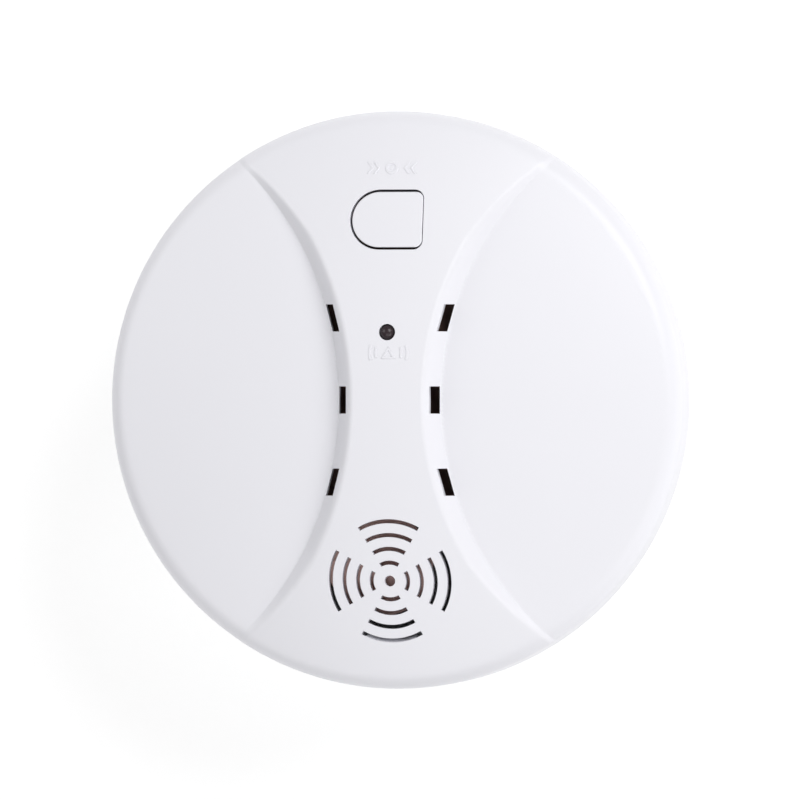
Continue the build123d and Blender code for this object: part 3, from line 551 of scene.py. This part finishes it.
# ------------------------------------------------------------------ front cover, button and marks
cover_holes = [(circle_loop(0, GRILLE_Y, GRILLE_HOLE_R, CENTRE_POINTS), CENTRE_EDGE)]
cover_holes += [(slot_loop(r_mid, 90 * quarter), SLOT_EDGE)
                for r_mid in GRILLE_RINGS for quarter in range(4)]
cover_holes += [(vent_loop(side, y_mid), VENT_EDGE) for side in (-1, 1) for y_mid in VENT_Y]
cover_holes.append((circle_loop(0, LAMP_Y, LAMP_R, LAMP_POINTS), LAMP_EDGE))
cover_holes.append((button_loop(0, 0), OPENING_EDGE))
cover = shell_mesh("cover_shell", ring_points(PLAN_MAX, RIM_POINTS), cover_holes, cover_points(), 0.0,
                   WALL)
dress(cover, "detector_head", "white_plastic", "front_cover")

button_points = [(BUTTON_GRID_X + BUTTON_GRID * i, BUTTON_Y + BUTTON_GRID_Y + BUTTON_GRID * j)
                 for i in range(BUTTON_COLUMNS) for j in range(BUTTON_ROWS)]
button = shell_mesh("button_tongue", button_loop(BUTTON_GAP, BUTTON_HINGE_GAP), [], button_points,
                    BUTTON_EDGE, BUTTON_WALL)
nib_top = surface(NIB_X, BUTTON_Y, BUTTON_WALL / 2)[2]
bpy.ops.mesh.primitive_cone_add(
    vertices=NIB_POINTS, radius1=NIB_FOOT_R * MM, radius2=NIB_TOP_R * MM,
    depth=(nib_top - NIB_FOOT_Z) * MM,
    location=(NIB_X * MM, BUTTON_Y * MM, (nib_top + NIB_FOOT_Z) / 2 * MM))
button = joined("button_tongue", [button, bpy.context.object])
dress(button, "test_button", "white_plastic", "test_button")

ring = (ring_points(TEST_RING_R, RING_POINTS), ring_points(TEST_RING_HOLE_R, RING_POINTS))
dot = (ring_points(TEST_DOT_R, DOT_POINTS), None)
chevrons = [([(side * (x + a), side * b) for a, b in CHEVRON], None)
            for side in (-1, 1) for x in CHEVRON_X]
test_mark = pictogram("test_mark", 0, TEST_MARK_Y, [ring, dot] + chevrons)
dress(test_mark, "detector_head", "white_plastic")

bows = []
for r in BOW_RADII:
    for mid in (0, 180):
        angles = [math.radians(mid - BOW_HALF + 2 * BOW_HALF * i / (BOW_POINTS - 1))
                  for i in range(BOW_POINTS)]
        bows.append((band_points(r, r + BOW_W, angles), None))
lamp_mark = pictogram("lamp_mark", LAMP_MARK_X, LAMP_MARK_Y, [(TRIANGLE, TRIANGLE_HOLE)] + bows)
dress(lamp_mark, "detector_head", "white_plastic")

# ------------------------------------------------------------------ stage, light and camera, in metres
FLOOR_HALF, FLOOR_Z, FLOOR_GREY, FLOOR_GLOW = 3, -0.03, 0.5, 0.62
LIGHT_SIZE = 1.0
LIGHTS = (
    ("key", (0.81, 0.68, 1.06), 15.4),
    ("side_fill", (1.0, -0.84, 0.75), 5.6),
    ("left_fill", (-1.18, 0.43, 0.82), 6.8),
    ("low_fill", (0.0, -0.96, 1.15), 5.1),
)
SKY = 0.19
CAMERA_TILT, CAMERA_DISTANCE = math.radians(8.0), 2.6
SENSOR, RIM_SHARE = 36, 0.7225          # the rim's diameter as a share of the picture's width
AIM_Z, RIM_RISE = 0.017, 0.005          # point that the camera looks at, and the rim's height above it

floor_mesh = bpy.data.meshes.new("floor")
floor_mesh.from_pydata([(FLOOR_HALF * x, FLOOR_HALF * y, FLOOR_Z)
                        for x, y in ((-1, -1), (1, -1), (1, 1), (-1, 1))], [], [(0, 1, 2, 3)])
floor = linked(bpy.data.objects.new("floor", floor_mesh))
floor_look = material("pale_floor", (FLOOR_GREY, FLOOR_GREY, FLOOR_GREY), 0.9, tint=0.0, spec=0.0)
floor.data.materials.append(floor_look)
glow = floor_look.node_tree.nodes["Principled BSDF"]
glow.inputs["Emission Color"].default_value = (1, 1, 1, 1)
glow.inputs["Emission Strength"].default_value = FLOOR_GLOW

for name, place, power in LIGHTS:
    light = bpy.data.lights.new(name, "AREA")
    light.shape = "DISK"
    light.size, light.energy = LIGHT_SIZE, power
    lamp = linked(bpy.data.objects.new(name, light))
    lamp.location = place
    lamp.rotation_euler = (-Vector(place)).to_track_quat("-Z", "Y").to_euler()
world = bpy.data.worlds.new("studio")
world.use_nodes = True
world.node_tree.nodes["Background"].inputs["Color"].default_value = (1, 1, 1, 1)
world.node_tree.nodes["Background"].inputs["Strength"].default_value = SKY
bpy.context.scene.world = world

camera_data = bpy.data.cameras.new("camera")
camera_data.sensor_width = SENSOR
camera_data.lens = SENSOR * (CAMERA_DISTANCE - RIM_RISE) / (2 * RIM_R * MM / RIM_SHARE)
camera = linked(bpy.data.objects.new("camera", camera_data))
toward_camera = Vector((math.sin(CAMERA_TILT), 0, math.cos(CAMERA_TILT)))
camera.location = Vector((0, 0, AIM_Z)) + toward_camera * CAMERA_DISTANCE
camera.rotation_euler = (0, CAMERA_TILT, 0)
bpy.context.scene.camera = camera
bpy.context.scene.view_settings.view_transform = "Standard"
